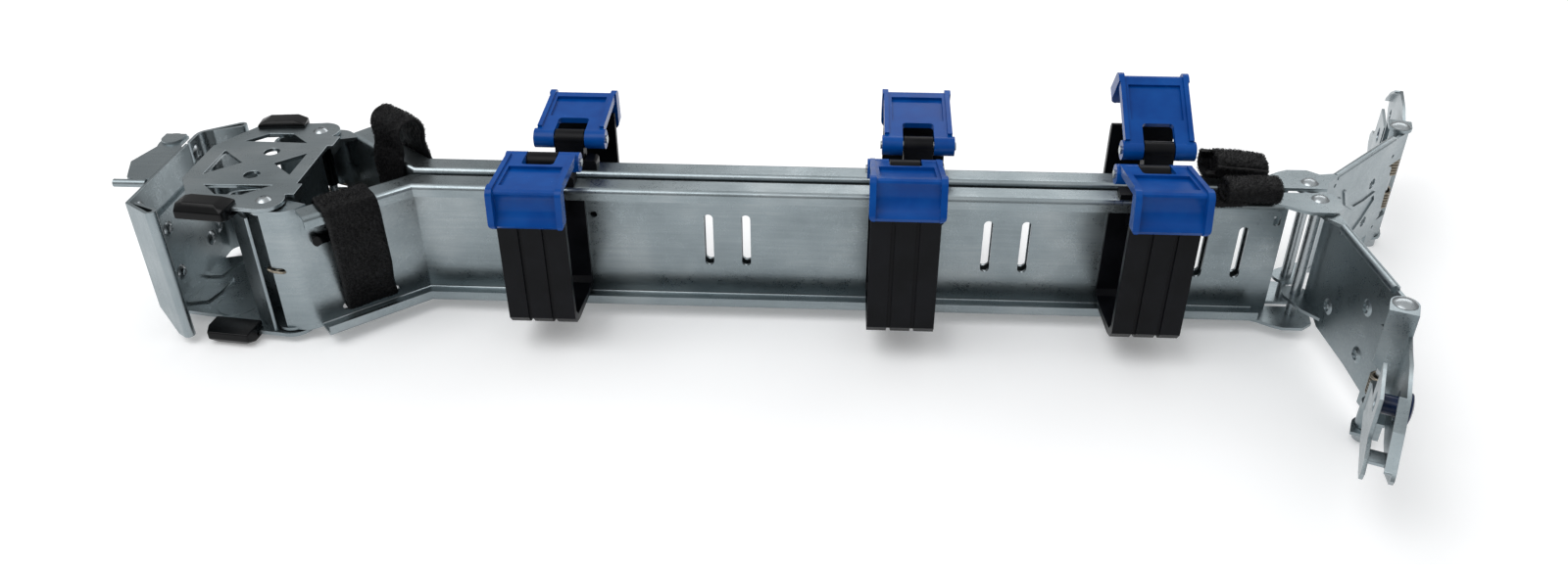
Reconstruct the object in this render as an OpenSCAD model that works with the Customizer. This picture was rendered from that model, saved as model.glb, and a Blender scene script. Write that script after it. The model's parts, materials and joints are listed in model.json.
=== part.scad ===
// Server cable management arm, folded: two channel arms, an elbow link with a cable guard,
// a sprung rail bracket on each arm and six cable baskets with hinged latches.
// +X runs along the arms to the rail brackets, +Y to the back, +Z up. Millimetres.

/* [Arms] */
// Distance between an arm's elbow pivot and its bracket pivot
arm_len = 374; // [360:1:400]
// Height of the channel, flange to flange
arm_h = 50.4; // [46:0.2:54]
// Depth of the channel's flanges
flange_d = 10; // [8:0.5:12]
// Depth of the return lip on each flange
lip_d = 4.5; // [3.5:0.5:6]
// Outer radius of the channel's bends
bend_r = 2; // [1.6:0.1:2.6]
// Thickness of the arm and bracket sheet
sheet_t = 1.2; // [1:0.1:1.4]
// Gap between the two folded arms
arm_gap = 3.2; // [2.4:0.2:6]
// Angle at which each arm leaves the middle towards its elbow pivot
crank_a = 40; // [35:1:45]

/* [Elbow link] */
// Distance between the two elbow pivots
elbow_span = 55.2; // [52:0.2:60]
// Thickness of the link's top and bottom plates
plate_t = 1.5; // [1.2:0.1:2]
// Distance from the elbow pivots to the cable guard's outer wall
guard_off = 48.2; // [44:0.2:52]
// Radius of the elbow pins
elbow_pin_r = 1.6; // [1.4:0.1:1.8]

/* [Rail brackets] */
// Length of the front bracket, pivot to hinge pin
front_bracket_len = 65; // [60:1:70]
// Length of the rear bracket, pivot to hinge pin
rear_bracket_len = 73; // [66:1:78]
// Direction of the front bracket at rest
front_bracket_a = -84.5; // [-100:0.5:-60]
// Direction of the rear bracket at rest
rear_bracket_a = 45; // [20:0.5:80]
// Angle between each bracket and its latch plate at rest
latch_bend_a = 28; // [10:0.5:30]
// Length of a latch plate, hinge pin to tip
latch_len = 67; // [60:1:75]
// Radius of the hinge pins
hinge_pin_r = 2; // [1.6:0.1:2.2]

/* [Cable baskets] */
// Width of a basket
basket_w = 24; // [20:1:28]
// Distance from the arm's wall to the outside of a basket
basket_d = 33.7; // [30:0.1:38]
// How far each front latch is lifted at rest, from the elbow to the brackets
front_lift = [2, 15, 10]; // [0:1:40]
// How far each rear latch is lifted at rest, from the elbow to the brackets
rear_lift = [4, 10, 33]; // [0:1:40]

/* [Hook-and-loop straps] */
// Width of a strap
strap_w = 20; // [16:1:25]
// Thickness of a strap
strap_t = 1.4; // [1:0.1:2]

/* [Hidden] */

$fn = 48;

// The origin is under the middle of the folded arm's outline
frame_x = -9.3;
frame_y = 6.8;

elbow_x = -184.2;
elbow_y = elbow_span / 2;
end_x = elbow_x + arm_len;
end_y = 6.2;

arm_z0 = 4.8;
arm_z1 = arm_z0 + arm_h;
mid_z = (arm_z0 + arm_z1) / 2;
wall_y = arm_gap / 2;
play = 0.05;

// Elbow link levels
link_clear = 0.5;
link_top_z = arm_z1 + link_clear;
link_bottom_z = arm_z0 - link_clear - plate_t;

// The arm's crank: from the straight wall's end to the flat that passes the elbow pin
crank_x1 = -140.3;
knuckle_gap = 4;
knuckle_y = elbow_y + knuckle_gap;
crank_len = (knuckle_y - wall_y) / sin(crank_a);
crank_x0 = crank_x1 - crank_len * cos(crank_a);
channel_end = 181;

// Elbow spring's lowest coil, and the sleeve above the spring
spring_z = 20;
sleeve_z = 33.9;
sleeve_r = 2.3;

// Straps on the cranks: near edge along each crank, and the slots' height
front_strap_at = 13;
rear_strap_at = 22;
strap_slot_z = arm_z0 + 5.2;

// Hinge of the rail brackets
knuckle_r = 3.4;
bracket_z0 = 14;
bracket_z1 = arm_z1 - sheet_t - 0.2;
foot_z = 4.1;

// Basket latch hinge, measured from the middle plane and from the base
lid_axis_y = 9.5;
lid_axis_z = 65.2;
lid_pin_r = 1.5;
front_lid_x = [-87.5, 41.5, 128.5];
rear_lid_x = [-81.5, 47, 134];
basket_gap = 11;

steel = [0.72, 0.75, 0.77];
spring_steel = [0.5, 0.48, 0.44];
black = [0.07, 0.07, 0.08];
blue = [0.11, 0.34, 0.72];
fabric = [0.05, 0.05, 0.05];

// Helpers

module placed() {
    translate([frame_x, frame_y, 0]) children();
}

module rear_side() {
    placed() mirror([0, 1, 0]) children();
}

module upright(z0, z1) {
    translate([0, 0, z0]) linear_extrude(z1 - z0) children();
}

// Profile in (y, z), run along +X for a length
module run_x(length) {
    rotate([90, 0, 90]) linear_extrude(length) children();
}

module quarter_ring(r_out, r_in) {
    intersection() {
        difference() {
            circle(r_out);
            circle(r_in);
        }
        square(r_out);
    }
}

// Flat strip with round ends between two points
module strip(p0, p1, width) {
    d = p1 - p0;
    translate(p0) rotate(atan2(d[1], d[0])) {
        translate([0, -width / 2]) square([norm(d), width]);
        circle(d = width);
        translate([norm(d), 0]) circle(d = width);
    }
}

function arc_points(centre, r, a0, a1, steps) =
    [for (i = [0 : steps]) let (a = a0 + (a1 - a0) * i / steps) centre + r * [cos(a), sin(a)]];

function turned(points, a) =
    [for (p = points) [p[0] * cos(a) - p[1] * sin(a), p[0] * sin(a) + p[1] * cos(a)]];
function moved(points, d) = [for (p = points) p + d];
function flipped(points) = [for (i = [len(points) - 1 : -1 : 0]) [points[i][0], -points[i][1]]];
function normal_of(d) = [-d[1], d[0]] / norm(d);

// One edge of a band of sheet that follows a path, off to its left
function band_edge(path, off) = let (last = len(path) - 1) [
    for (i = [0 : last])
        let (n0 = normal_of(path[max(i, 1)] - path[max(i, 1) - 1]),
             n1 = normal_of(path[min(i, last - 1) + 1] - path[min(i, last - 1)]),
             n = (n0 + n1) / norm(n0 + n1))
        path[i] + off / (n * n0) * n
];

// Edge-on sheet that follows a path
module band(path, thickness) {
    left = band_edge(path, thickness / 2);
    right = band_edge(path, -thickness / 2);
    polygon(concat(left, [for (i = [len(right) - 1 : -1 : 0]) right[i]]));
}

module slot_2d(length, width) {
    square([length - width, width], center = true);
    for (side = [-1, 1])
        translate([side * (length - width) / 2, 0]) circle(d = width);
}

// Flat-backed domed head, standing on z = 0
module domed_head(r, h) {
    ball = (r * r + h * h) / (2 * h);
    rotate_extrude() intersection() {
        translate([0, h - ball]) circle(ball);
        square([r, h]);
    }
}

// Centreline of a torsion spring: coils about Z with a straight leg off each end
function coil_path(r, turns, pitch, leg0, leg1) = let (steps = 14) concat(
    [[r, -leg0, 0]],
    [for (i = [0 : turns * steps])
        [r * cos(360 * i / steps), r * sin(360 * i / steps), pitch * i / steps]],
    [[r * cos(360 * turns) - leg1 * sin(360 * turns),
      r * sin(360 * turns) + leg1 * cos(360 * turns), pitch * turns]]
);

// Centreline of two coils on one axis, joined by an upright run
function twin_coil_path(r, turns, pitch, gap) = let (steps = 14, high = pitch * turns + gap) concat(
    [for (i = [0 : turns * steps])
        [r * cos(360 * i / steps), r * sin(360 * i / steps), pitch * i / steps]],
    [for (i = [0 : turns * steps])
        [r * cos(360 * (turns + i / steps)), r * sin(360 * (turns + i / steps)),
         high + pitch * i / steps]]
);

// Round wire swept along a path, ring by ring
module wire(path, r, sides = 6) {
    last = len(path) - 1;
    function heading(i) =
        let (d = path[min(i + 1, last)] - path[max(i - 1, 0)]) d / norm(d);
    function ring(i) =
        let (t = heading(i), out = [path[i][0], path[i][1], 0], u0 = out - (out * t) * t,
             u = u0 / norm(u0), v = cross(u, t))
        [for (k = [0 : sides - 1])
            path[i] + r * (cos(360 * k / sides) * u + sin(360 * k / sides) * v)];
    points = [for (i = [0 : last]) each ring(i)];
    walls = [for (i = [0 : last - 1]) for (k = [0 : sides - 1])
        let (n = (k + 1) % sides)
        [i * sides + k, i * sides + n, (i + 1) * sides + n, (i + 1) * sides + k]];
    caps = [[for (k = [sides - 1 : -1 : 0]) k], [for (k = [0 : sides - 1]) last * sides + k]];
    polyhedron(points, concat(walls, caps));
}

// Arms

// One flange of the channel with both bends and the return lip; z = 0 is its outer face
module flange_profile() {
    translate([-bend_r, -bend_r]) quarter_ring(bend_r, bend_r - sheet_t);
    translate([-flange_d + bend_r, -sheet_t]) square([flange_d - 2 * bend_r, sheet_t]);
    translate([-flange_d + bend_r, -bend_r]) mirror([1, 0]) quarter_ring(bend_r, bend_r - sheet_t);
    translate([-flange_d, -lip_d]) square([sheet_t, lip_d - bend_r]);
}

// Channel section: the wall's inner face at y = 0, flanges towards -y
module channel_profile() {
    translate([-sheet_t, arm_z0 + bend_r]) square([sheet_t, arm_h - 2 * bend_r]);
    translate([0, arm_z1]) flange_profile();
    translate([0, arm_z0]) mirror([0, 1]) flange_profile();
}

// Half-space on the bracket side (right = true) or the elbow side of the crank's mitre
module mitre_side(right) {
    reach = 500;
    translate([crank_x1, -wall_y, -10]) rotate([0, 0, 90 + crank_a / 2])
        translate([-reach, right ? -reach : 0, 0]) cube([2 * reach, reach, 80]);
}

// Ear with the pivot hole at the elbow end, as a flat pattern
module elbow_ear() {
    difference() {
        union() {
            translate([elbow_x, -elbow_y]) circle(6);
            polygon([
                [elbow_x - 5.6, -elbow_y - 1.8], [elbow_x - 0.8, -knuckle_y - sheet_t],
                [crank_x0 - 1.5, -knuckle_y - sheet_t], [crank_x0 + 3.9, -knuckle_y + 1.5],
                [crank_x0 + 6, -knuckle_y + 5], [elbow_x + 4, -elbow_y + 4.4]
            ]);
        }
        translate([elbow_x, -elbow_y]) circle(elbow_pin_r + play);
    }
}

// Widened end of the flange round the bracket pivot, as a flat pattern
module end_lug() {
    difference() {
        polygon([
            [channel_end - 9, -wall_y - 0.2], [channel_end - 9, -wall_y - flange_d + bend_r],
            [channel_end - 5, -wall_y - flange_d + 0.4], [channel_end - 0.5, -14.2],
            [end_x - 5.5, -16], [end_x + 1.8, -16], [end_x + 6, -12.6],
            [end_x + 7, -end_y], [end_x + 5, -wall_y]
        ]);
        translate([end_x, -end_y]) circle(hinge_pin_r + play);
    }
}

// Flat that passes the elbow pin and bends into the crank, as a flat pattern.
// The crank's flanges begin flange_at along it
flange_at = 3.5;
module elbow_bend() {
    bend = 6;
    run = bend * tan(crank_a / 2);
    face_y = -knuckle_y - sheet_t / 2;
    band(concat(
        [[elbow_x - 0.8, face_y]],
        arc_points([crank_x0 - run, -knuckle_y + bend], bend + sheet_t / 2, 270, 270 + crank_a, 6),
        moved(turned([[flange_at + 0.5, -sheet_t / 2]], crank_a), [crank_x0, -knuckle_y])
    ), sheet_t);
}

// Slots and holes through the straight wall
module wall_cutouts(lid_x) {
    // Pairs of strap slots
    for (x = [-30, -16, 74, 88, 153, 167])
        translate([x, 0, mid_z]) rotate([90, 0, 0]) linear_extrude(8) rotate(90) slot_2d(strap_w + 2, 3.4);
    // Small hole beside each basket
    for (x = lid_x)
        translate([x + basket_w / 2 + 2.6, 0, mid_z + 10]) rotate([90, 0, 0])
            cylinder(r = 1.3, h = 8, center = true);
    // Narrow sight slot at the bracket end
    translate([channel_end - 3, 0, arm_z1 - 9]) rotate([90, 0, 0]) linear_extrude(8)
        rotate(90) slot_2d(9, 2.4);
}

// Front arm; the rear arm is its mirror image. lid_x lists the baskets' places and
// strap_at is the strap's near edge along the crank
module arm_channel(lid_x, strap_at) {
    difference() {
        union() {
            intersection() {
                translate([crank_x1 - 8, -wall_y, 0])
                    run_x(channel_end - 5 - crank_x1 + 8) channel_profile();
                mitre_side(true);
            }
            translate([channel_end - 6, -wall_y - sheet_t, arm_z0 + sheet_t])
                cube([6, sheet_t, arm_h - 2 * sheet_t]);
            intersection() {
                translate([crank_x0, -knuckle_y, 0]) rotate([0, 0, crank_a]) translate([flange_at, 0, 0])
                    run_x(crank_len + 8 - flange_at) channel_profile();
                mitre_side(false);
            }
            upright(arm_z0, arm_z1) elbow_bend();
            upright(arm_z1 - sheet_t, arm_z1) elbow_ear();
            upright(arm_z0, arm_z0 + sheet_t) elbow_ear();
            upright(arm_z1 - sheet_t, arm_z1) end_lug();
            upright(arm_z0, arm_z0 + sheet_t) end_lug();
        }
        wall_cutouts(lid_x);
        // Notch in the top flange for each basket's hinge post
        for (x = lid_x)
            translate([x - basket_gap / 2 - 0.2, -wall_y - 8.4, arm_z1 - 2.5])
                cube([basket_gap + 0.4, 7.2 - sheet_t, 5]);
        // Notch for the elbow spring's leg
        translate([elbow_x, -knuckle_y, spring_z + 10.6]) rotate([90, 0, 0])
            linear_extrude(8, center = true) slot_2d(8, 2.2);
        // Slot low in the crank for its strap
        translate([crank_x0, -knuckle_y, 0]) rotate([0, 0, crank_a])
            translate([strap_at + strap_w / 2, 4, strap_slot_z]) rotate([90, 0, 0]) linear_extrude(8)
                slot_2d(strap_w + 2, 3);
    }
}

module front_arm_channel() {
    color(steel) placed() arm_channel(front_lid_x, front_strap_at);
}

module rear_arm_channel() {
    color(steel) rear_side() arm_channel(rear_lid_x, rear_strap_at);
}

// Elbow link

// Outline shared by the two link plates, about the point between the elbow pivots
module link_outline() {
    for (side = [-1, 1])
        translate([0, side * elbow_y]) circle(7.2);
    polygon([
        [7.2, elbow_y - 11], [4.8, elbow_y + 5.2], [-1, elbow_y + 7], [-25, elbow_y + 4.4],
        [-29.5, elbow_y - 3], [-36.3, 13], [-36.3, -13], [-29.5, -elbow_y + 3],
        [-25, -elbow_y - 4.4], [-1, -elbow_y - 7], [4.8, -elbow_y - 5.2], [7.2, -elbow_y + 11]
    ]);
}

// The X-shaped web is what these four openings leave
module link_openings() {
    for (side = [-1, 1])
        polygon([[-26, side * 17.5], [-19, side * 24.4], [-9.5, side * 24.4], [-1.5, side * 17]]);
    polygon([[-7.5, 0], [1.8, 8.6], [1.8, -8.6]]);
    polygon([[-19.5, 0], [-30, 9.4], [-30, -9.4]]);
}

module link_holes() {
    for (side = [-1, 1]) {
        translate([-12, side * 9.2]) circle(2.9);
        translate([0, side * elbow_y]) circle(elbow_pin_r + play);
    }
}

// Stop tab beside each pivot: stands off the plate's edge and turns down
module stop_tab(side) {
    tab_len = 8;
    out = 3;
    drop = 2.4;
    translate([5, side * (elbow_y - 8.4) - tab_len / 2, 0]) {
        cube([out, tab_len, plate_t]);
        translate([out, 0, -drop]) cube([sheet_t, tab_len, plate_t + drop]);
    }
}

module link_top_plate() {
    color(steel) placed() translate([elbow_x, 0, link_top_z]) {
        difference() {
            union() {
                linear_extrude(plate_t) link_outline();
                for (side = [-1, 1]) stop_tab(side);
            }
            translate([0, 0, -1]) linear_extrude(plate_t + 2) {
                link_openings();
                link_holes();
            }
        }
    }
}

// Bottom plate: reaches out to the guard and turns up against it
flange_up = 40.5;
flange_y0 = -21;
flange_y1 = 16.4;
module link_bottom_plate() {
    reach = guard_off - sheet_t / 2;
    color(steel) placed() translate([elbow_x, 0, link_bottom_z]) {
        difference() {
            union() {
                linear_extrude(plate_t) {
                    link_outline();
                    polygon([[-30, 22], [-reach, flange_y1], [-reach, flange_y0], [-30, -24]]);
                }
                translate([-reach, flange_y0, 0]) cube([plate_t, flange_y1 - flange_y0, flange_up]);
                // Two stepped ribs pressed up out of the plate beside the flange
                upright(plate_t - 0.5, plate_t + 0.9) {
                    band([[-46.5, -16], [-40, -14.5], [-38, -8], [-37.4, 1]], 2.6);
                    band([[-46.5, 3], [-42.5, 3.5], [-40.5, 9.5], [-38.5, 14]], 2.6);
                }
            }
            translate([0, 0, -1]) linear_extrude(plate_t + 3) {
                translate([0, -elbow_y]) circle(elbow_pin_r + play);
                translate([0, elbow_y]) circle(elbow_pin_r + play);
                translate([-24, 14]) circle(2.9);
            }
            // Shallow scribed arc and its centre mark
            upright(plate_t - 0.3, plate_t + 1) {
                band(arc_points([-27, -16], 8, 165, 340, 14), 0.5);
                translate([-27, -13]) circle(0.9);
            }
            // Corners of the turned-up flange
            for (y = [flange_y0, flange_y1])
                translate([-reach + plate_t / 2, y, flange_up]) rotate([45, 0, 0])
                    cube([4, 5, 5], center = true);
        }
    }
}

// Wall between the plates on the arm side, curled round each elbow pin
module link_inner_wall() {
    wall_x = 4.8;
    nose_r = 3.5;
    nose = [-12.1, 5.7 - elbow_y];
    // Heading of the face beside the pin and of the slope behind it
    face_a = 136.8;
    face_len = 13;
    slope_a = 15;
    foot_r = 3;
    foot = [wall_x - foot_r, 16.2 - elbow_y];
    half = concat(
        [nose + nose_r * [cos(face_a + 90), sin(face_a + 90)] - face_len * [cos(face_a), sin(face_a)]],
        arc_points(nose, nose_r, face_a + 90, slope_a + 90, 8),
        arc_points(foot, foot_r, slope_a - 90, 0, 5)
    );
    color(steel) placed() translate([elbow_x, 0, 0]) difference() {
        upright(link_bottom_z + plate_t, link_top_z) band(concat(half, flipped(half)), sheet_t);
        // Corners cut back under the glides
        for (side = [-1, 1]) translate([-10, side * (elbow_y + 6), link_top_z])
            cube([12, 11, 5.8], center = true);
        // Opening that lightens the straight wall
        translate([wall_x, 0, mid_z]) rotate([0, 90, 0]) linear_extrude(6, center = true)
            slot_2d(26, 14);
    }
}

// Guard: an upright wall with two splayed, hemmed wings that keeps cables in the bend.
// The front wing is folded sharply and the rear one bends round
wing_a = 34;
wing_bend = 5;
front_corner = 30.2;
rear_bend_y = 23.4;
hem_r = 1.5;

// One wing from its far end back to the end of its hem, along +X
function wing(length) = concat(arc_points([length, -hem_r], hem_r, 90, -90, 8), [[2.4, -1.4]]);

module cable_guard() {
    z0 = link_bottom_z + 0.4;
    z1 = link_top_z + 0.6;
    bend_at = [wing_bend, rear_bend_y];
    bend_end = 90 + wing_a;
    front = concat([[0, front_corner]], moved(turned(wing(12), wing_a), [0, front_corner]));
    rear = concat(
        arc_points(bend_at, wing_bend, 180, bend_end, 6),
        moved(turned(wing(13), wing_a), bend_at + wing_bend * [cos(bend_end), sin(bend_end)])
    );
    color(steel) placed() translate([elbow_x - guard_off, 0, 0]) difference() {
        upright(z0, z1) band(concat(flipped(front), rear), sheet_t);
        // Narrow slit in the rim
        translate([0, 16.6, z1 - 4.5]) cube([6, 1.4, 10], center = true);
        // Sloped foot at the front corner
        translate([0, -front_corner, z0]) rotate([0, 0, -wing_a]) rotate([0, 45, 0])
            cube([12, 10, 12], center = true);
    }
}

// Hollow rivet head
module cup_rivet() {
    difference() {
        domed_head(3, 1.3);
        translate([0, 0, 0.7]) cylinder(r = 1.4, h = 1);
    }
}

module guard_rivets() {
    wall_x = elbow_x - guard_off + sheet_t / 2;
    color(steel) placed() {
        for (y = [-15, 10.5]) for (z = [17.5, 36.5])
            translate([wall_x + plate_t, y, z]) rotate([0, 90, 0]) cup_rivet();
        for (p = [[-25, 50.5], [20, 50.5], [20, 17.5]])
            translate([wall_x, p[0], p[1]]) rotate([0, 90, 0]) cup_rivet();
    }
}

// Bracket outside the guard with a hook flange and a rolled pin that rests on the tray
module support_bracket() {
    x = elbow_x - guard_off - sheet_t / 2;
    top = link_top_z + 0.6;
    color(steel) placed() translate([x, 0, 0]) {
        difference() {
            union() {
                translate([-sheet_t, -12.5, top - 26]) cube([sheet_t, 25, 26]);
                upright(top - sheet_t, top) polygon([
                    [0, -12.5], [-4.5, -14], [-9, -11.5], [-13.6, 0.5], [-9.8, 13],
                    [-10.4, 16], [-10.4, 22.6], [-1.8, 22.6], [-1.8, 16], [0, 12.5]
                ]);
                // Raised tab at the back corner, rounded at the front
                upright(top - 0.2, top + 1) {
                    translate([-6.1, 18.6]) circle(4);
                    translate([-10.1, 18.6]) square([8, 3.6]);
                }
            }
            for (p = [[-6, 40], [6, 40]])
                translate([0, p[0], p[1]]) rotate([0, 90, 0]) cylinder(r = 1.6, h = 6, center = true);
        }
        translate([-13, -13.6, top - 1.5]) rotate([0, 90, 0]) cylinder(r = 1.5, h = 12);
    }
}

// Plastic glide clipped over the rim of a link plate; z = 0 is the plate's outer face
module glide(length) {
    rim_depth = 5.4;
    difference() {
        hull() {
            translate([-length / 2, -3, -4]) cube([length, 6, rim_depth]);
            translate([3 - length / 2, -3, 0]) cube([length - 6, 8.4, 1.4]);
            translate([1 - length / 2, 3, -3]) cube([length - 2, 3.4, 3]);
            translate([4 - length / 2, -2, 2]) cube([length - 8, 6, 0.8]);
        }
        translate([-length, -4, -plate_t]) cube([2 * length, rim_depth, plate_t]);
    }
}

// Glide at a distance from the elbow pins, on the top or the bottom plate
glide_y = elbow_y + 4.3;
module glide_at(top, rear, x, length) {
    color(black) placed() translate([elbow_x + x, 0, 0])
        mirror([0, rear ? 0 : 1, 0]) translate([0, glide_y, top ? link_top_z + plate_t : link_bottom_z])
        mirror([0, 0, top ? 0 : 1]) rotate([0, 0, 6.2]) glide(length);
}

module glide_top_front() {
    glide_at(true, false, -18.8, 19.5);
}

module glide_top_rear() {
    glide_at(true, true, -16.5, 18);
}

module glide_bottom_front() {
    glide_at(false, false, -21, 18);
}

module glide_bottom_rear() {
    glide_at(false, true, -21, 18);
}

// Low head with a dished middle
module rivet_head() {
    difference() {
        domed_head(2.8, 1.2);
        translate([0, 0, 0.8]) cylinder(r = 1.2, h = 1);
    }
}

// Headed pin through both plates of the link and both ears of the arm
module elbow_pin(rear) {
    z0 = link_bottom_z;
    z1 = link_top_z + plate_t;
    color(steel) placed() translate([elbow_x, rear ? elbow_y : -elbow_y, 0]) {
        translate([0, 0, z0]) cylinder(r = elbow_pin_r, h = z1 - z0);
        translate([0, 0, z1]) rivet_head();
        translate([0, 0, z0]) mirror([0, 0, 1]) rivet_head();
    }
}

// Torsion spring on an elbow pin, one leg through the arm's slot
module elbow_spring() {
    color(spring_steel) translate([elbow_x, -elbow_y, spring_z])
        rotate([0, 0, -90]) wire(coil_path(2.45, 8.2, 1.28, 0.4, 4.2), 0.5);
}

// Sleeve on an elbow pin, above the spring
module elbow_sleeve() {
    color(black) translate([elbow_x, -elbow_y, 0]) upright(sleeve_z, arm_z1 - sheet_t - 0.1) difference() {
        circle(sleeve_r);
        circle(elbow_pin_r + play);
    }
}

// Rail brackets

// Frame of a bracket: origin on the arm's end pivot, +X towards the hinge pin
module bracket_frame(angle) {
    translate([end_x, -end_y, 0]) rotate([0, 0, angle]) children();
}

// Frame of a latch plate: origin on the hinge pin, +X towards the tip
module latch_frame(angle, length) {
    bracket_frame(angle) translate([length, 0, 0]) rotate([0, 0, -latch_bend_a]) children();
}

// Plate with an ear at each level, a rolled rim and knuckles round the hinge pin
module bracket(length) {
    face_y = knuckle_r - sheet_t;
    root = 5;
    rim_r = 1.5;
    top_knuckle = 41;
    low_knuckle = 15;
    low_z = foot_z + 1.4;
    dimples = [[20, 22.5], [length - 22, 37.5], [length - 20, 19.5]];
    difference() {
        union() {
            // Ears on the end pivot
            for (z = [bracket_z0, bracket_z1 - sheet_t]) translate([0, 0, z]) linear_extrude(sheet_t) {
                circle(root);
                polygon([
                    [-4, 3], [1, -root], [11, -2], [17, face_y], [17, knuckle_r], [-2, knuckle_r + 0.8]
                ]);
            }
            // Main plate with a stepped shoulder at the pivot side
            translate([0, face_y + sheet_t, 0]) rotate([90, 0, 0]) linear_extrude(sheet_t) polygon([
                [2, bracket_z0], [2, bracket_z1], [length - 10, bracket_z1], [length - 10, top_knuckle],
                [length - 6.4, top_knuckle - 1.6], [length - 4.6, low_knuckle + 1],
                [length - 7, low_knuckle], [length - 12, low_knuckle - 5], [length - 26, bracket_z0 - 3],
                [16, bracket_z0 - 3], [9, bracket_z0]
            ]);
            // Knuckles, joined to the plate by short straight laps
            for (k = [[top_knuckle, bracket_z1 - 1], [low_z, low_knuckle]]) {
                translate([length, 0, k[0]]) cylinder(r = knuckle_r + 0.1, h = k[1] - k[0]);
                translate([length - 12, face_y, k[0]]) cube([12, sheet_t, k[1] - k[0]]);
            }
            // Rolled rim along the top edge
            translate([16, face_y, bracket_z1 - rim_r + 0.2]) rotate([0, 90, 0])
                cylinder(r = rim_r, h = length - 26.4);
            // Edge folded back on itself beside the spring
            translate([0, face_y + 0.2, 0]) rotate([90, 0, 0]) linear_extrude(0.9)
                band([[length - 10, 38.6], [length - 8.4, 33], [length - 7, 15.5]], 3);
            // Pressed ribs: the two sides of a forked loop
            translate([length - rear_bracket_len, knuckle_r + 0.6, 0]) rotate([90, 0, 0])
                linear_extrude(1) bracket_ribs();
        }
        for (z = [0, bracket_z1 - 8]) translate([0, 0, z]) cylinder(r = hinge_pin_r + play, h = 24);
        translate([length, 0, 0]) cylinder(r = hinge_pin_r + play, h = 70);
        // Small holes beside the knuckles and at the shoulder
        for (p = [[length - 8.5, 45], [length - 8.5, 12.5], [15, bracket_z1 - 4]])
            translate([p[0], 0, p[1]]) rotate([90, 0, 0]) cylinder(r = 0.8, h = 12, center = true);
        // Pressed cups: a shallow dish with a hole on one face and a collar on the other
        for (p = dimples) translate([p[0], face_y + sheet_t, p[1]]) rotate([90, 0, 0]) {
            cylinder(r = 2.2, h = 1, center = true);
            cylinder(r = 0.9, h = 8, center = true);
        }
    }
    for (p = dimples)
        translate([p[0], face_y + 0.3, p[1]]) rotate([90, 0, 0]) difference() {
            domed_head(3.3, 1.4);
            translate([0, 0, 0.5]) cylinder(r = 1.8, h = 3);
            cylinder(r = 0.9, h = 3, center = true);
        }
}

module bracket_ribs() {
    band([
        [25, 44], [29, 37], [37, 32], [46, 31.4], [55, 32], [57, 28.5], [49.5, 22], [43, 18], [41, 14]
    ], 1.3);
    band([[22, 42], [23, 36], [31, 28], [33, 20], [32, 14]], 1.3);
}

module front_bracket() {
    color(steel) placed() bracket_frame(front_bracket_a) bracket(front_bracket_len);
}

module rear_bracket() {
    color(steel) rear_side() bracket_frame(-rear_bracket_a) bracket(rear_bracket_len);
}

// Pin through the arm's lugs and the bracket's ears
module end_pin() {
    color(steel) translate([end_x, -end_y, 0]) {
        translate([0, 0, arm_z0]) cylinder(r = hinge_pin_r, h = arm_h);
        translate([0, 0, arm_z1]) domed_head(3.1, 1.5);
        translate([0, 0, arm_z0]) mirror([0, 0, 1]) domed_head(3.1, 1.5);
    }
}

latch_top_z = bracket_z1 - 0.8;
// Hinge pin: its lower end is the foot that the arm rests on
module hinge_pin(length, angle) {
    color(steel) bracket_frame(angle) translate([length, 0, 0]) {
        head_z = latch_top_z + sheet_t + 0.1;
        cylinder(r = hinge_pin_r, h = head_z + 0.3);
        cylinder(r = 3.2, h = foot_z - 0.1);
        translate([0, 0, head_z]) domed_head(3.9, 1.5);
    }
}

// Double torsion spring in the middle of the hinge pin
module hinge_spring(length, angle) {
    color(spring_steel) bracket_frame(angle) translate([length, 0, 0]) {
        translate([0, 0, 19]) wire(twin_coil_path(2.75, 5, 1.32, 7.4), 0.52);
    }
}

// Leaf-shaped plate that plugs into the slide rail, with hinge ears and a stiffened edge
module latch_plate() {
    face = 4.6;
    difference() {
        union() {
            for (z = [foot_z, latch_top_z]) translate([0, 0, z]) linear_extrude(sheet_t) {
                circle(4.4);
                translate([0, -4.4]) square([face + sheet_t, 8.8]);
            }
            // Cross tab with a chamfered foot below the upper ear, strip above the lower ear
            translate([face, 0, 0]) rotate([90, 0, 90]) linear_extrude(sheet_t) {
                polygon([
                    [-4.4, latch_top_z + sheet_t], [-4.4, 34], [-1, 30.6], [-1, foot_z],
                    [4.4, foot_z], [4.4, latch_top_z + sheet_t]
                ]);
            }
            // Leaf
            translate([0, 4.4, 0]) rotate([90, 0, 0]) linear_extrude(sheet_t) polygon([
                [face, 20], [face, 46], [15, 47.6], [28, 50.4], [46, 50.6], [56, 45.6],
                [latch_len - 1, 38.4], [latch_len, 36.4], [latch_len - 1.6, 34], [52, 27], [30, 21.6],
                [14, 20]
            ]);
            // Flange folded from the leaf's sloping edge
            translate([0, 4.4, 0]) rotate([90, 0, 0]) linear_extrude(3.2) {
                strip([46, 49.9], [56, 44.9], 1.2);
                strip([56, 44.9], [latch_len - 1.6, 37.9], 1.2);
            }
        }
        for (z = [0, 40]) translate([0, 0, z]) cylinder(r = hinge_pin_r + play, h = 30);
        // Hole that drops over the rail's stud, and the button's seat
        translate([54, 0, 36]) rotate([90, 0, 0]) cylinder(r = 2.1, h = 14, center = true);
        translate([30, 0, 36]) rotate([90, 0, 0]) cylinder(r = 5.2, h = 14, center = true);
    }
}

module front_latch_plate() {
    color(steel) front_hinge_frame() latch_plate();
}

module rear_latch_plate() {
    color(steel) rear_hinge_frame() latch_plate();
}

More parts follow.
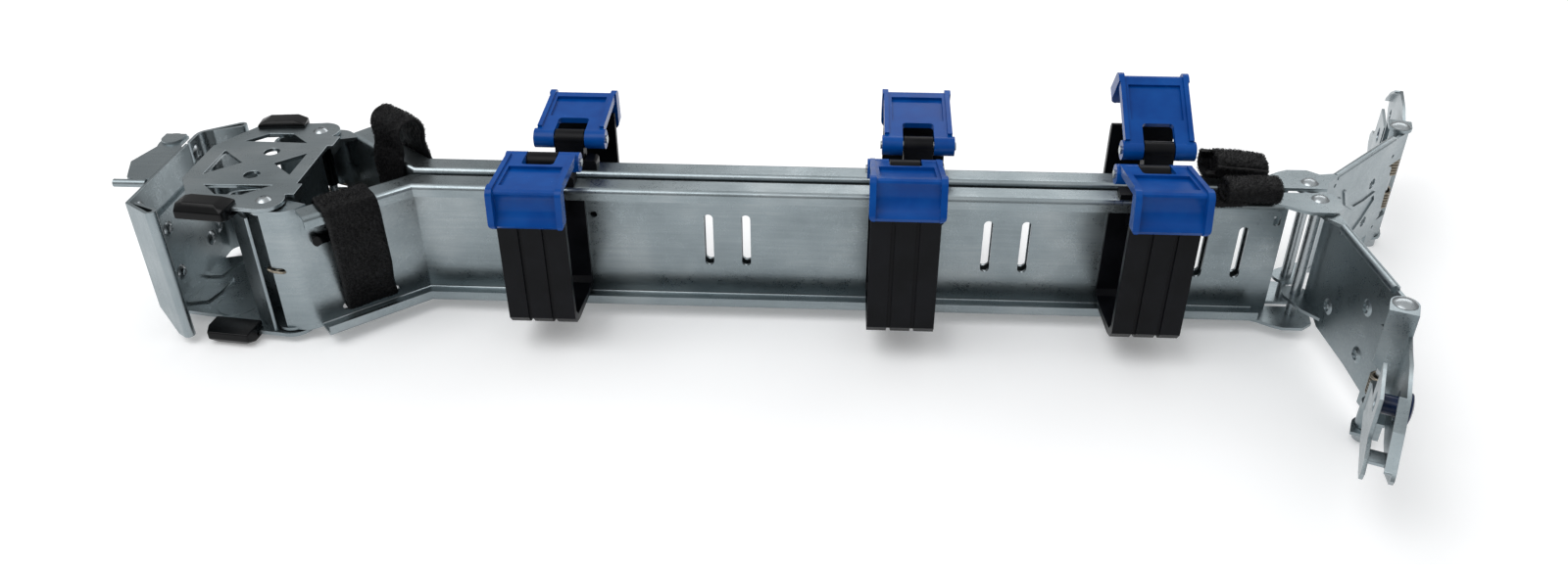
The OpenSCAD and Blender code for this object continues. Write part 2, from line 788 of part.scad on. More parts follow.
// Keeper behind the leaf: a folded strip with a bent nose that holds the button and its spring
module keeper() {
    color(steel) {
        difference() {
            union() {
                translate([0, -1.6, 0]) rotate([90, 0, 0]) linear_extrude(sheet_t) polygon([
                    [8, 17], [8, 28], [20, 31], [20, 44], [40, 44], [41.5, 31], [50, 29], [53, 25.6],
                    [51, 22], [46, 20.4], [24, 17]
                ]);
                translate([8, -2.2, 17]) cylinder(r = 1.3, h = 11);
                // Laps that join the leaf
                translate([14, -2.8, 20]) cube([6, 6, sheet_t]);
                translate([42, -2.8, 26]) cube([6, 6, sheet_t]);
            }
            translate([30, 0, 36]) rotate([90, 0, 0]) cylinder(r = 3.2, h = 14, center = true);
        }
    }
}

// Round push button: cap outside the leaf, flange behind it
module button() {
    color(blue) translate([30, 0, 36]) rotate([-90, 0, 0]) {
        translate([0, 0, 3.4]) cylinder(r = 5.1, h = 3.6);
        translate([0, 0, 7]) domed_head(5.1, 0.9);
        translate([0, 0, -2.4]) cylinder(r = 3.1, h = 6);
    }
}

// Cable baskets

// Side profile (y outward from the arm's wall, z) of the J-shaped basket
module basket_profile() {
    back = sheet_t;
    out = basket_d + sheet_t;
    floor_z = arm_z0 + lip_d + 0.3;
    polygon([
        [back, floor_z], [back + 10, floor_z], [out - 7, floor_z + 1.6], [out - 2.4, floor_z + 3],
        [out, floor_z + 6], [out, lid_axis_z - 3.4], [out - 1.2, lid_axis_z - 1.4],
        [out - 2.6, lid_axis_z - 1.4], [out - 2.6, floor_z + 8], [out - 5, floor_z + 5],
        [back + 10, floor_z + 2.4], [back + 4, floor_z + 2.4], [back + 2, floor_z + 4.4],
        [back + 2, arm_z1 - lip_d - 1], [back, arm_z1 - lip_d - 1]
    ]);
}

// Basket for the front arm at x: back plate, floor, ribbed front and hinge post
module basket(x) {
    w = basket_w;
    groove = 1.4;
    rib = (w - 2 * groove) / 3;
    out = wall_y + sheet_t + basket_d;
    saddle_y = -wall_y - flange_d + bend_r;
    saddle_d = flange_d - 2 * bend_r;
    color(black) translate([x, 0, 0]) difference() {
        union() {
            translate([-w / 2, 0, 0]) rotate([90, 0, 90]) linear_extrude(w)
                mirror([1, 0]) translate([wall_y, 0]) basket_profile();
            // Post through the flange's notch, ending in the lid's hinge eye
            translate([-basket_gap / 2 + 0.2, 0, 0]) rotate([90, 0, 90]) linear_extrude(basket_gap - 0.4) {
                polygon([
                    [-wall_y - sheet_t, arm_z1 - 16], [-wall_y - 8.2, arm_z1 - 10],
                    [-wall_y - 8.2, arm_z1 + 1], [-lid_axis_y - 3.4, lid_axis_z],
                    [-lid_axis_y + 3.4, lid_axis_z], [-wall_y - sheet_t - 1.4, arm_z1 + 2.4],
                    [-wall_y - sheet_t - 1.4, arm_z1 - lip_d - 1], [-wall_y - sheet_t, arm_z1 - lip_d - 2]
                ]);
                translate([-lid_axis_y, lid_axis_z]) circle(3.5);
            }
            // Saddle on the arm's top flange, with a lug at its right end
            translate([-w / 2 + 2, saddle_y, arm_z1]) cube([w - 4, saddle_d, 1.8]);
            translate([0, saddle_y + saddle_d, 0]) rotate([90, 0, 0]) linear_extrude(saddle_d) {
                translate([w / 2 - 3.5, arm_z1 + 2.4]) circle(1.5);
                translate([basket_gap / 2, arm_z1]) square([w / 2 - 2 - basket_gap / 2, 2.4]);
                translate([basket_gap / 2, arm_z1]) square([w / 2 - 3.5 - basket_gap / 2, 3.9]);
            }
        }
        // Two grooves between the three ribs of the front, open where the floor curves up
        for (side = [-1, 1]) translate([side * (rib + groove) / 2 - groove / 2, -out - 1, 0]) {
            translate([0, 0, arm_z0 + 9]) cube([groove, 1.9, arm_h]);
            translate([0, 0, arm_z0 + 3]) cube([groove, 8, 7]);
        }
        translate([-w, -lid_axis_y, lid_axis_z]) rotate([0, 90, 0])
            cylinder(r = lid_pin_r + play, h = 2 * w);
    }
}

module lid_pin(x) {
    half = 13.8;
    color(steel) translate([x - half, -lid_axis_y, lid_axis_z]) rotate([0, 90, 0])
        cylinder(r = lid_pin_r, h = 2 * half);
}

// Lid in its closed pose: origin on the hinge axis, reaching towards -Y
lid_reach = wall_y + sheet_t + basket_d - lid_axis_y + 0.3;
lid_top = 3.4;
lid_half = 12.4;
grip_h = 13.6;
grip_half = lid_half + 0.5;
cheek_w = 2.2;
module lid_body() {
    barrel_r = 3.6;
    half = 13.2;
    gap = basket_gap / 2 + 0.2;
    difference() {
        union() {
            // Hinge barrels either side of the post
            for (side = [0, 1]) mirror([side, 0, 0]) translate([gap, 0, 0]) rotate([0, 90, 0])
                cylinder(r = barrel_r, h = half - gap);
            // Lid plate with raised side ribs
            translate([-lid_half, -lid_reach - 1, lid_top - 2.2]) cube([2 * lid_half, lid_reach + 1, 2.2]);
            for (side = [0, 1]) mirror([side, 0, 0])
                translate([lid_half - 1.7, -lid_reach, lid_top - 2]) cube([1.7, lid_reach - 2, 2.9]);
            // Thumb grip: a dish between two cheeks, rounded off at its lower corners
            intersection() {
                union() {
                    translate([-lid_half, 0, 0]) rotate([90, 0, 90]) linear_extrude(2 * lid_half)
                        grip_profile();
                    for (side = [0, 1]) mirror([side, 0, 0])
                        translate([grip_half - cheek_w, 0, 0]) rotate([90, 0, 90])
                            linear_extrude(cheek_w) cheek_profile();
                }
                rotate([90, 0, 0]) linear_extrude(lid_reach + 10) grip_outline();
            }
        }
        // Window round the hinge post
        upright(-10, 10) window_outline(gap, -9.4, 11, 1.4);
        // Sunk panel behind the brow
        translate([-lid_half + 2.9, -lid_reach + 1.2, lid_top - 1.2])
            cube([2 * lid_half - 5.8, lid_reach - 12.2, 3]);
        rotate([0, 90, 0]) translate([0, 0, -20]) cylinder(r = lid_pin_r + play, h = 40);
    }
}

// Opening with two round corners at its low end
module window_outline(half, y0, y1, r) {
    polygon(concat(
        arc_points([-half + r, y0 + r], r, 180, 270, 4), arc_points([half - r, y0 + r], r, 270, 360, 4),
        [[half, y1], [-half, y1]]
    ));
}

// Front view of the grip
module grip_outline() {
    foot = -grip_h + 2;
    window_outline(grip_half, foot, lid_top + 2, 2.8);
}

// Section through the dish: brow, hollow, then a lip that turns out at the foot
module grip_profile() {
    dish_r = 8.2;
    dish = [-lid_reach - 9.4, -3.2];
    foot = -grip_h + 2.4;
    polygon(concat(
        [[-lid_reach + 0.2, lid_top], [-lid_reach - 2, lid_top], [-lid_reach - 3, lid_top - 0.6]],
        arc_points(dish, dish_r, 40, -42, 8),
        [[-lid_reach - 3.7, foot + 1.2], [-lid_reach - 2.6, foot]],
        [[-lid_reach, foot], [-lid_reach, lid_top - 2]]
    ));
}

module cheek_profile() {
    foot = -grip_h + 2.2;
    polygon(concat(
        [[-lid_reach + 0.2, lid_top + 0.9]],
        arc_points([-lid_reach - 1.8, lid_top - 2.1], 3, 90, 170, 4),
        arc_points([-lid_reach - 2.2, foot + 3.2], 3.2, 190, 260, 4),
        [[-lid_reach, foot], [-lid_reach, lid_top - 2]]
    ));
}

module lid(x, lift) {
    color(blue) translate([x, -lid_axis_y, lid_axis_z]) rotate([-lift, 0, 0]) lid_body();
}

// Straps

// Strap round the top of the front arm's crank, back through the slot low in its wall.
// With looped, its free end is rolled up on top
module crank_strap(strap_at, looped) {
    clear = 0.4;
    front_y = -flange_d - clear - strap_t / 2;
    back_y = clear + strap_t / 2;
    top_z = arm_z1 + clear + strap_t / 2;
    loop_tall = 16;
    loop_deep = 10;
    color(fabric) translate([crank_x0, -knuckle_y, 0]) rotate([0, 0, crank_a]) translate([strap_at, 0, 0]) {
        run_x(strap_w) band([
            [-sheet_t - clear - strap_t / 2, strap_slot_z + 0.6], [front_y, arm_z1 - lip_d - 0.8],
            [front_y, top_z], [back_y, top_z], [back_y, strap_slot_z], [-sheet_t / 2, strap_slot_z]
        ], strap_t);
        if (looped) translate([0, 0, top_z + strap_t / 2 - 0.4 + loop_tall / 2]) run_x(strap_w)
            translate([-flange_d / 2, 0]) rotate(90) difference() {
                slot_2d(loop_tall, loop_deep);
                slot_2d(loop_tall - 2 * strap_t, loop_deep - 2 * strap_t);
            }
    }
}

// Strap rolled up on the top flange at the bracket end of an arm
module rolled_strap(x, deep, tall) {
    color(fabric) translate([x, 0, arm_z1 + tall / 2 + 0.1]) run_x(strap_w + 5)
        translate([-wall_y - deep / 2, 0]) difference() {
            slot_2d(deep, tall);
            slot_2d(deep - 2 * strap_t, tall - 2 * strap_t);
        }
}

module strap_front_elbow() {
    placed() crank_strap(front_strap_at, false);
}

module strap_rear_elbow() {
    rear_side() crank_strap(rear_strap_at, true);
}

module strap_front_end() {
    placed() rolled_strap(150, 14, 10);
}

module strap_rear_end() {
    rear_side() rolled_strap(152, 15, 11);
}

// Parts in place
module front_hinge_frame() {
    placed() latch_frame(front_bracket_a, front_bracket_len) children();
}

module rear_hinge_frame() {
    rear_side() latch_frame(-rear_bracket_a, rear_bracket_len) children();
}

module hinge_spring_front() {
    placed() hinge_spring(front_bracket_len, front_bracket_a);
}

module hinge_spring_rear() {
    rear_side() hinge_spring(rear_bracket_len, -rear_bracket_a);
}

module hinge_pin_front() {
    placed() hinge_pin(front_bracket_len, front_bracket_a);
}

module hinge_pin_rear() {
    rear_side() hinge_pin(rear_bracket_len, -rear_bracket_a);
}

front_arm_channel();
rear_arm_channel();
link_top_plate();
link_bottom_plate();
link_inner_wall();
cable_guard();
guard_rivets();
support_bracket();
glide_top_front();
glide_top_rear();
glide_bottom_front();
glide_bottom_rear();
elbow_pin(false);  // elbow_pin_front
elbow_pin(true);  // elbow_pin_rear
placed() elbow_spring();  // elbow_spring_front
rear_side() elbow_spring();  // elbow_spring_rear
placed() elbow_sleeve();  // elbow_sleeve_front
rear_side() elbow_sleeve();  // elbow_sleeve_rear
placed() end_pin();  // end_pin_front
rear_side() end_pin();  // end_pin_rear
front_bracket();
rear_bracket();
hinge_pin_front();
hinge_pin_rear();
hinge_spring_front();
hinge_spring_rear();
front_latch_plate();
rear_latch_plate();
front_hinge_frame() keeper();  // front_keeper
rear_hinge_frame() keeper();  // rear_keeper
front_hinge_frame() button();  // front_button
rear_hinge_frame() button();  // rear_button
placed() basket(front_lid_x[0]);  // basket_f1
placed() basket(front_lid_x[1]);  // basket_f2
placed() basket(front_lid_x[2]);  // basket_f3
rear_side() basket(rear_lid_x[0]);  // basket_r1
rear_side() basket(rear_lid_x[1]);  // basket_r2
rear_side() basket(rear_lid_x[2]);  // basket_r3
placed() lid_pin(front_lid_x[0]);  // lid_pin_f1
placed() lid_pin(front_lid_x[1]);  // lid_pin_f2
placed() lid_pin(front_lid_x[2]);  // lid_pin_f3
rear_side() lid_pin(rear_lid_x[0]);  // lid_pin_r1
rear_side() lid_pin(rear_lid_x[1]);  // lid_pin_r2
rear_side() lid_pin(rear_lid_x[2]);  // lid_pin_r3
placed() lid(front_lid_x[0], front_lift[0]);  // lid_f1
placed() lid(front_lid_x[1], front_lift[1]);  // lid_f2
placed() lid(front_lid_x[2], front_lift[2]);  // lid_f3
rear_side() lid(rear_lid_x[0], rear_lift[0]);  // lid_r1
rear_side() lid(rear_lid_x[1], rear_lift[1]);  // lid_r2
rear_side() lid(rear_lid_x[2], rear_lift[2]);  // lid_r3
strap_front_elbow();
strap_rear_elbow();
strap_front_end();
strap_rear_end();
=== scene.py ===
import json
import math

import bmesh
import bpy
from mathutils import Matrix, Vector


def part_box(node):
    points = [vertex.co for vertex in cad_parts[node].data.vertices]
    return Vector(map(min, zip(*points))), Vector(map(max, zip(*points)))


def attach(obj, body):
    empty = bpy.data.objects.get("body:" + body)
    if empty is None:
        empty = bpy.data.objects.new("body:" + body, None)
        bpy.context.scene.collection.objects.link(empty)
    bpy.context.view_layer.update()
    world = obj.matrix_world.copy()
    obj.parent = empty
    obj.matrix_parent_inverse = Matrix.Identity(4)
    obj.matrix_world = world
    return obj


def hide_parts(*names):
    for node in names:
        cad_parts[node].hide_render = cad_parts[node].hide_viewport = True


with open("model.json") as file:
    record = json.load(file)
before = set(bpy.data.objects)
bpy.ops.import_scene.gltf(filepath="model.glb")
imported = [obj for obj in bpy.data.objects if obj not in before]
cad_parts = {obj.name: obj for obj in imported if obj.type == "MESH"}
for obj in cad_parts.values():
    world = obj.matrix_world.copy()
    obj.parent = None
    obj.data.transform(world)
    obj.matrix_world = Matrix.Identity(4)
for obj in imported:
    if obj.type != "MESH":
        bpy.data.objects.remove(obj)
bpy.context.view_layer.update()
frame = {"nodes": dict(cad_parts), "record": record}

nodes = frame["nodes"]
bodies = frame["record"]["behaviour"]["bodies"]
bodyOf = {node: body for body, members in bodies.items() for node in members}
slotOf = {part["node"]: part["material_slot"] for part in frame["record"]["subparts"]}
mm = 0.001


# sRGB hex to the linear colour that a shader takes
def hexColor(text):
    channels = [int(text[i:i + 2], 16) / 255 for i in (1, 3, 5)]
    linear = [c / 12.92 if c <= 0.04045 else ((c + 0.055) / 1.055) ** 2.4 for c in channels]
    return (*linear, 1.0)


# Adds a node: inputs are values, sockets or nodes, stops fill a colour ramp, settings are attributes
def addNode(tree, kind, inputs=None, stops=(), **settings):
    node = tree.nodes.new(kind)
    for key, value in settings.items():
        setattr(node, key, value)
    for key, value in (inputs or {}).items():
        if isinstance(value, bpy.types.Node):
            value = value.outputs[0]
        if isinstance(value, bpy.types.NodeSocket):
            tree.links.new(value, node.inputs[key])
        else:
            node.inputs[key].default_value = value
    for index, (position, color) in enumerate(stops):
        elements = node.color_ramp.elements
        stop = elements[index] if index < len(elements) else elements.new(position)
        stop.position = position
        stop.color = hexColor(color) if isinstance(color, str) else (color, color, color, 1.0)
    return node


def newMaterial(name):
    material = bpy.data.materials.new(name)
    material.use_nodes = True
    tree = material.node_tree
    tree.nodes.clear()
    output = addNode(tree, "ShaderNodeOutputMaterial")
    place = addNode(tree, "ShaderNodeTexCoord").outputs["Object"]
    return material, tree, output, place


zincLook = {
    "shade": "#838D91", "base": "#8F999D", "light": "#9EA6A9",
    "cloudSize": 26.0, "smudgeSize": 9.0, "streakSize": 1.1, "speckSize": 0.55,  # mm
    "roughLow": 0.24, "roughHigh": 0.42, "waveDepth": 0.5, "grainDepth": 0.04,
}


# Electro-galvanised steel sheet, rolled, sheared and folded: a satin cool grey with faint
# rolling lines, small pits that catch the light and a slow wave that bends reflections
def makeZincSheet(name, lineStretch, look):
    material, tree, output, place = newMaterial(name)
    cloud = addNode(tree, "ShaderNodeTexNoise", {"Vector": place, "Scale": 1 / (look["cloudSize"] * mm),
                                                 "Detail": 2.0, "Roughness": 0.5})
    lines = addNode(tree, "ShaderNodeMapping", {"Vector": place, "Scale": lineStretch})
    streak = addNode(tree, "ShaderNodeTexNoise", {"Vector": lines, "Scale": 1 / (look["streakSize"] * mm),
                                                  "Detail": 3.0, "Roughness": 0.6})
    speck = addNode(tree, "ShaderNodeTexNoise", {"Vector": place, "Scale": 1 / (look["speckSize"] * mm),
                                                 "Detail": 4.0, "Roughness": 0.7})
    tone = addNode(tree, "ShaderNodeMath", {0: streak, 1: 0.35, 2: cloud}, operation="MULTIPLY_ADD")
    base = addNode(tree, "ShaderNodeValToRGB", {"Fac": tone},
                   [(0.45, look["shade"]), (0.68, look["base"]), (0.9, look["light"])])
    smudge = addNode(tree, "ShaderNodeTexNoise", {"Vector": place, "Scale": 1 / (look["smudgeSize"] * mm),
                                                  "Detail": 5.0, "Roughness": 0.65, "Distortion": 0.6})
    worn = addNode(tree, "ShaderNodeMath", {0: smudge, 1: 0.6, 2: speck}, operation="MULTIPLY_ADD")
    rough = addNode(tree, "ShaderNodeMapRange", {"Value": worn, "From Min": 0.6, "From Max": 1.0,
                                                 "To Min": look["roughLow"], "To Max": look["roughHigh"]})
    wave = addNode(tree, "ShaderNodeBump", {"Height": cloud, "Strength": 0.35,
                                            "Distance": look["waveDepth"] * mm})
    grain = addNode(tree, "ShaderNodeBump", {"Height": streak, "Strength": 0.2, "Normal": wave,
                                             "Distance": look["grainDepth"] * mm})
    shader = addNode(tree, "ShaderNodeBsdfPrincipled", {"Base Color": base, "Metallic": 1.0,
                                                        "Roughness": rough, "Normal": grain})
    tree.links.new(shader.outputs["BSDF"], output.inputs["Surface"])
    return material


# Cold-headed and zinc-plated pin steel: brighter and tighter than the sheet
def makePinSteel(name):
    material, tree, output, place = newMaterial(name)
    turned = addNode(tree, "ShaderNodeTexNoise", {"Vector": place, "Scale": 1 / (0.6 * mm), "Detail": 3.0})
    base = addNode(tree, "ShaderNodeValToRGB", {"Fac": turned}, [(0.3, "#9CA2A5"), (0.7, "#A8AEB1")])
    rough = addNode(tree, "ShaderNodeMapRange", {"Value": turned, "To Min": 0.25, "To Max": 0.31})
    bump = addNode(tree, "ShaderNodeBump", {"Height": turned, "Strength": 0.1, "Distance": 0.05 * mm})
    shader = addNode(tree, "ShaderNodeBsdfPrincipled", {"Base Color": base, "Metallic": 1.0,
                                                        "Roughness": rough, "Normal": bump})
    tree.links.new(shader.outputs["BSDF"], output.inputs["Surface"])
    return material


# Oiled spring wire: warm grey-brown, drawn, with a fairly sharp highlight along each coil
def makeSpringWire(name):
    material, tree, output, place = newMaterial(name)
    drawn = addNode(tree, "ShaderNodeTexNoise", {"Vector": place, "Scale": 1 / (0.8 * mm), "Detail": 4.0})
    base = addNode(tree, "ShaderNodeValToRGB", {"Fac": drawn}, [(0.3, "#716B61"), (0.7, "#A0988A")])
    bump = addNode(tree, "ShaderNodeBump", {"Height": drawn, "Strength": 0.12, "Distance": 0.04 * mm})
    shader = addNode(tree, "ShaderNodeBsdfPrincipled", {"Base Color": base, "Metallic": 1.0,
                                                        "Roughness": 0.3, "Normal": bump})
    tree.links.new(shader.outputs["BSDF"], output.inputs["Surface"])
    return material


blackLook = {"dark": "#08090C", "light": "#101115", "roughLow": 0.28, "roughHigh": 0.42,
             "grit": 0.4, "depth": 0.05, "shine": 0.1}
glossBlackLook = {"dark": "#040506", "light": "#0A0B0D", "roughLow": 0.14, "roughHigh": 0.24,
                  "grit": 0.7, "depth": 0.02, "shine": 0.15}
blueLook = {"dark": "#013F8A", "light": "#054A98", "roughLow": 0.18, "roughHigh": 0.28,
            "grit": 0.6, "depth": 0.025, "shine": 0.14}
# Darker copy of the blue moulding for the release buttons: painted shade for where they sit behind the
# keepers
paintedShadeBlueLook = {"dark": "#061B3C", "light": "#0B274F", "roughLow": 0.2, "roughHigh": 0.3,
            "grit": 0.6, "depth": 0.02, "shine": 0.25}


# Injection-moulded ABS: colour through and through, slow flow marks in gloss and tone,
# and the fine spark-eroded grain of the mould
def makeMoulded(name, look):
    material, tree, output, place = newMaterial(name)
    flow = addNode(tree, "ShaderNodeTexNoise", {"Vector": place, "Scale": 1 / (11 * mm), "Detail": 3.0})
    grain = addNode(tree, "ShaderNodeTexNoise", {"Vector": place, "Scale": 1 / (look["grit"] * mm),
                                                 "Detail": 5.0, "Roughness": 0.7})
    base = addNode(tree, "ShaderNodeValToRGB", {"Fac": flow}, [(0.35, look["dark"]), (0.65, look["light"])])
    rough = addNode(tree, "ShaderNodeMapRange", {"Value": flow, "From Min": 0.3, "From Max": 0.7,
                                                 "To Min": look["roughLow"], "To Max": look["roughHigh"]})
    bump = addNode(tree, "ShaderNodeBump", {"Height": grain, "Strength": 0.2,
                                            "Distance": look["depth"] * mm})
    shader = addNode(tree, "ShaderNodeBsdfPrincipled", {"Base Color": base, "Roughness": rough,
                                                        "IOR": 1.53, "Normal": bump,
                                                        "Specular IOR Level": look["shine"]})
    tree.links.new(shader.outputs["BSDF"], output.inputs["Surface"])
    return material


# Brushed-loop nylon tape: near-black pile whose loop crowns catch small points of light
def makeLoopFabric(name):
    material, tree, output, place = newMaterial(name)
    crush = addNode(tree, "ShaderNodeTexNoise", {"Vector": place, "Scale": 1 / (5 * mm), "Detail": 3.0})
    thread = addNode(tree, "ShaderNodeTexNoise", {"Vector": place, "Scale": 1 / (0.5 * mm), "Detail": 4.0,
                                                  "Roughness": 0.8})
    tuft = addNode(tree, "ShaderNodeTexVoronoi", {"Vector": place, "Scale": 1 / (1.5 * mm)})
    tufted = addNode(tree, "ShaderNodeBump", {"Height": tuft, "Strength": 0.9, "Distance": 0.5 * mm},
                     invert=True)
    tone = addNode(tree, "ShaderNodeMath", {0: crush, 1: thread}, operation="MULTIPLY")
    base = addNode(tree, "ShaderNodeValToRGB", {"Fac": tone}, [(0.12, "#050506"), (0.3, "#0B0B0D"),
                                                               (0.45, "#1C1D20")])
    bump = addNode(tree, "ShaderNodeBump", {"Height": thread, "Strength": 0.7, "Distance": 0.3 * mm,
                                            "Normal": tufted})
    shader = addNode(tree, "ShaderNodeBsdfPrincipled", {"Base Color": base, "Roughness": 0.45,
                                                        "Normal": bump,
                                                        "Specular IOR Level": 0.2})
    tree.links.new(shader.outputs["BSDF"], output.inputs["Surface"])
    return material


zincSheet = makeZincSheet("galvanisedSteelSheet", (0.06, 1.0, 1.0), zincLook)
zincUpright = makeZincSheet("galvanisedSteelUpright", (1.0, 1.0, 0.06), zincLook)
pinSteel = makePinSteel("platedPinSteel")
springWire = makeSpringWire("oiledSpringWire")
blackAbs = makeMoulded("blackMouldedAbs", blackLook)
glossBlack = makeMoulded("glossBlackMouldedAbs", glossBlackLook)
blueAbs = makeMoulded("blueMouldedAbs", blueLook)
paintedShadeBlueAbs = makeMoulded("blueMouldedAbsWithPaintedShade", paintedShadeBlueLook)
loopFabric = makeLoopFabric("brushedLoopNylon")
materialFor = {"zinc_steel": zincSheet, "pin_steel": pinSteel, "spring_steel": springWire,
               "black_plastic": blackAbs, "blue_plastic": blueAbs, "black_fabric": loopFabric}
materialOf = {node: materialFor[slot] for node, slot in slotOf.items()}
for node in nodes:
    if node.startswith("glide") or "sleeve" in node:
        materialOf[node] = glossBlack
    elif "button" in node:
        # The release buttons take the darker blue with painted shade
        materialOf[node] = paintedShadeBlueAbs
    elif node in ("cable_guard", "link_inner_wall"):
        materialOf[node] = zincUpright
print("materials made")


def addPiece(name, mesh, body, slot, *replaced):
    piece = bpy.data.objects.new(name, mesh)
    bpy.context.scene.collection.objects.link(piece)
    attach(piece, body)
    if replaced:
        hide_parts(*replaced)
    return piece


# The mesh of an object once its modifiers have run; the object itself goes
def bakeMesh(holder):
    graph = bpy.context.evaluated_depsgraph_get()
    mesh = bpy.data.meshes.new_from_object(holder.evaluated_get(graph))
    bpy.data.objects.remove(holder)
    return mesh


# A copy of a solid with welded faces and broken edges stands for it
def softenedCopy(node, edgeRadius, segments, edgeAngle=30):
    mesh = nodes[node].data.copy()
    work = bmesh.new()
    work.from_mesh(mesh)
    bmesh.ops.remove_doubles(work, verts=work.verts, dist=0.002 * mm)
    bmesh.ops.dissolve_limit(work, angle_limit=math.radians(0.5), verts=work.verts, edges=work.edges)
    work.to_mesh(mesh)
    work.free()
    mesh.shade_smooth()
    mesh.materials.clear()
    mesh.materials.append(materialOf[node])
    holder = bpy.data.objects.new(node + "_edges", mesh)
    bpy.context.scene.collection.objects.link(holder)
    bevel = holder.modifiers.new("edges", "BEVEL")
    bevel.width = edgeRadius * mm
    bevel.segments = segments
    bevel.limit_method = "ANGLE"
    bevel.angle_limit = math.radians(edgeAngle)
    bevel.use_clamp_overlap = True
    flat = holder.modifiers.new("flats", "WEIGHTED_NORMAL")
    flat.keep_sharp = False
    flat.weight = 90
    final = bakeMesh(holder)
    return addPiece(node + "_finished", final, bodyOf[node], slotOf[node], node)


# Edge radius in mm and bevel steps for each kind of part
softened = {
    "lid_": (0.5, 3), "basket_": (0.4, 2), "glide_": (0.45, 2), "front_button": (0.4, 2),
    "rear_button": (0.4, 2), "link_": (0.22, 2), "cable_guard": (0.22, 2), "support_bracket": (0.22, 2),
    "front_bracket": (0.25, 2), "rear_bracket": (0.25, 2), "front_latch": (0.25, 2),
    "rear_latch": (0.25, 2), "front_keeper": (0.22, 2), "rear_keeper": (0.22, 2),
    "front_arm_channel": (0.25, 2), "rear_arm_channel": (0.25, 2),
}
for node in sorted(nodes):
    nodes[node].data.materials.clear()
    nodes[node].data.materials.append(materialOf[node])
    edge = next((value for start, value in softened.items() if node.startswith(start)), None)
    if edge and "pin" not in node:
        softenedCopy(node, *edge)
print("solids finished")


# Evenly spaced points along an open path whose corners are rounded
def smoothPath(corners, step, rounds=3):
    points = [Vector(corner) for corner in corners]
    for _ in range(rounds):
        cut = [points[0]]
        for start, end in zip(points, points[1:]):
            cut += [start.lerp(end, 0.25), start.lerp(end, 0.75)]
        points = cut + [points[-1]]
    spaced, left = [points[0]], step
    for start, end in zip(points, points[1:]):
        length = (end - start).length
        while length > left:
            start = start.lerp(end, left / length)
            spaced.append(start)
            length -= left
            left = step
        left -= length
    if (spaced[-1] - points[-1]).length > step * 0.4:
        spaced.append(points[-1])
    return spaced


def newTree(name, sockets):
    tree = bpy.data.node_groups.new(name, "GeometryNodeTree")
    tree.interface.new_socket("Geometry", in_out="OUTPUT", socket_type="NodeSocketGeometry")
    tree.interface.new_socket("Geometry", in_out="INPUT", socket_type="NodeSocketGeometry")
    for label, kind in sockets.items():
        tree.interface.new_socket(label, in_out="INPUT", socket_type="NodeSocket" + kind)
    start = tree.nodes.new("NodeGroupInput")
    end = tree.nodes.new("NodeGroupOutput")
    return tree, start.outputs, end.inputs


# Runs a tree on a mesh with its inputs set by identifier, and gives the plain mesh back
def runTree(tree, mesh, values):
    holder = bpy.data.objects.new("holder", mesh)
    bpy.context.scene.collection.objects.link(holder)
    modifier = holder.modifiers.new("tree", "NODES")
    modifier.node_group = tree
    for item in tree.interface.items_tree:
        if item.in_out == "INPUT" and item.name in values:
            modifier[item.identifier] = values[item.name]
    return bakeMesh(holder)


# Round wire swept along the edges of a mesh
def makeWireTree():
    tree, given, result = newTree("sweptWire", {"Wire Radius": "Float", "Sides": "Int",
                                                "Steel": "Material"})
    path = addNode(tree, "GeometryNodeMeshToCurve", {"Mesh": given["Geometry"]})
    ring = addNode(tree, "GeometryNodeCurvePrimitiveCircle", {"Resolution": given["Sides"],
                                                              "Radius": given["Wire Radius"]})
    tube = addNode(tree, "GeometryNodeCurveToMesh", {"Curve": path, "Profile Curve": ring,
                                                     "Fill Caps": True})
    smooth = addNode(tree, "GeometryNodeSetShadeSmooth", {0: tube})
    real = addNode(tree, "GeometryNodeRealizeInstances", {0: smooth})
    finish = addNode(tree, "GeometryNodeSetMaterial", {"Geometry": real, "Material": given["Steel"]})
    tree.links.new(finish.outputs[0], result["Geometry"])
    return tree


wireTree = makeWireTree()


def sweepWire(name, points, look, body, *replaced):
    mesh = bpy.data.meshes.new(name)
    links = [(i, i + 1) for i in range(len(points) - 1)]
    mesh.from_pydata([tuple(point * mm) for point in points], links, [])
    final = runTree(wireTree, mesh, {"Wire Radius": look["wire"] * mm, "Sides": look["sides"],
                                     "Steel": springWire})
    return addPiece(name, final, body, "spring_steel", *replaced)


def centreOf(node):
    low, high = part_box(node)
    return (Vector(low) + Vector(high)) / (2 * mm)


def coilPoints(axis, radius, startAngle, turns, low, high, hand, steps=22):
    count = round(turns * steps)
    points = []
    for i in range(count + 1):
        angle = math.radians(startAngle + 360 * turns * i / count)
        points.append(axis + Vector((radius * math.cos(angle), hand * radius * math.sin(angle),
                                     low + (high - low) * i / count)))
    return points


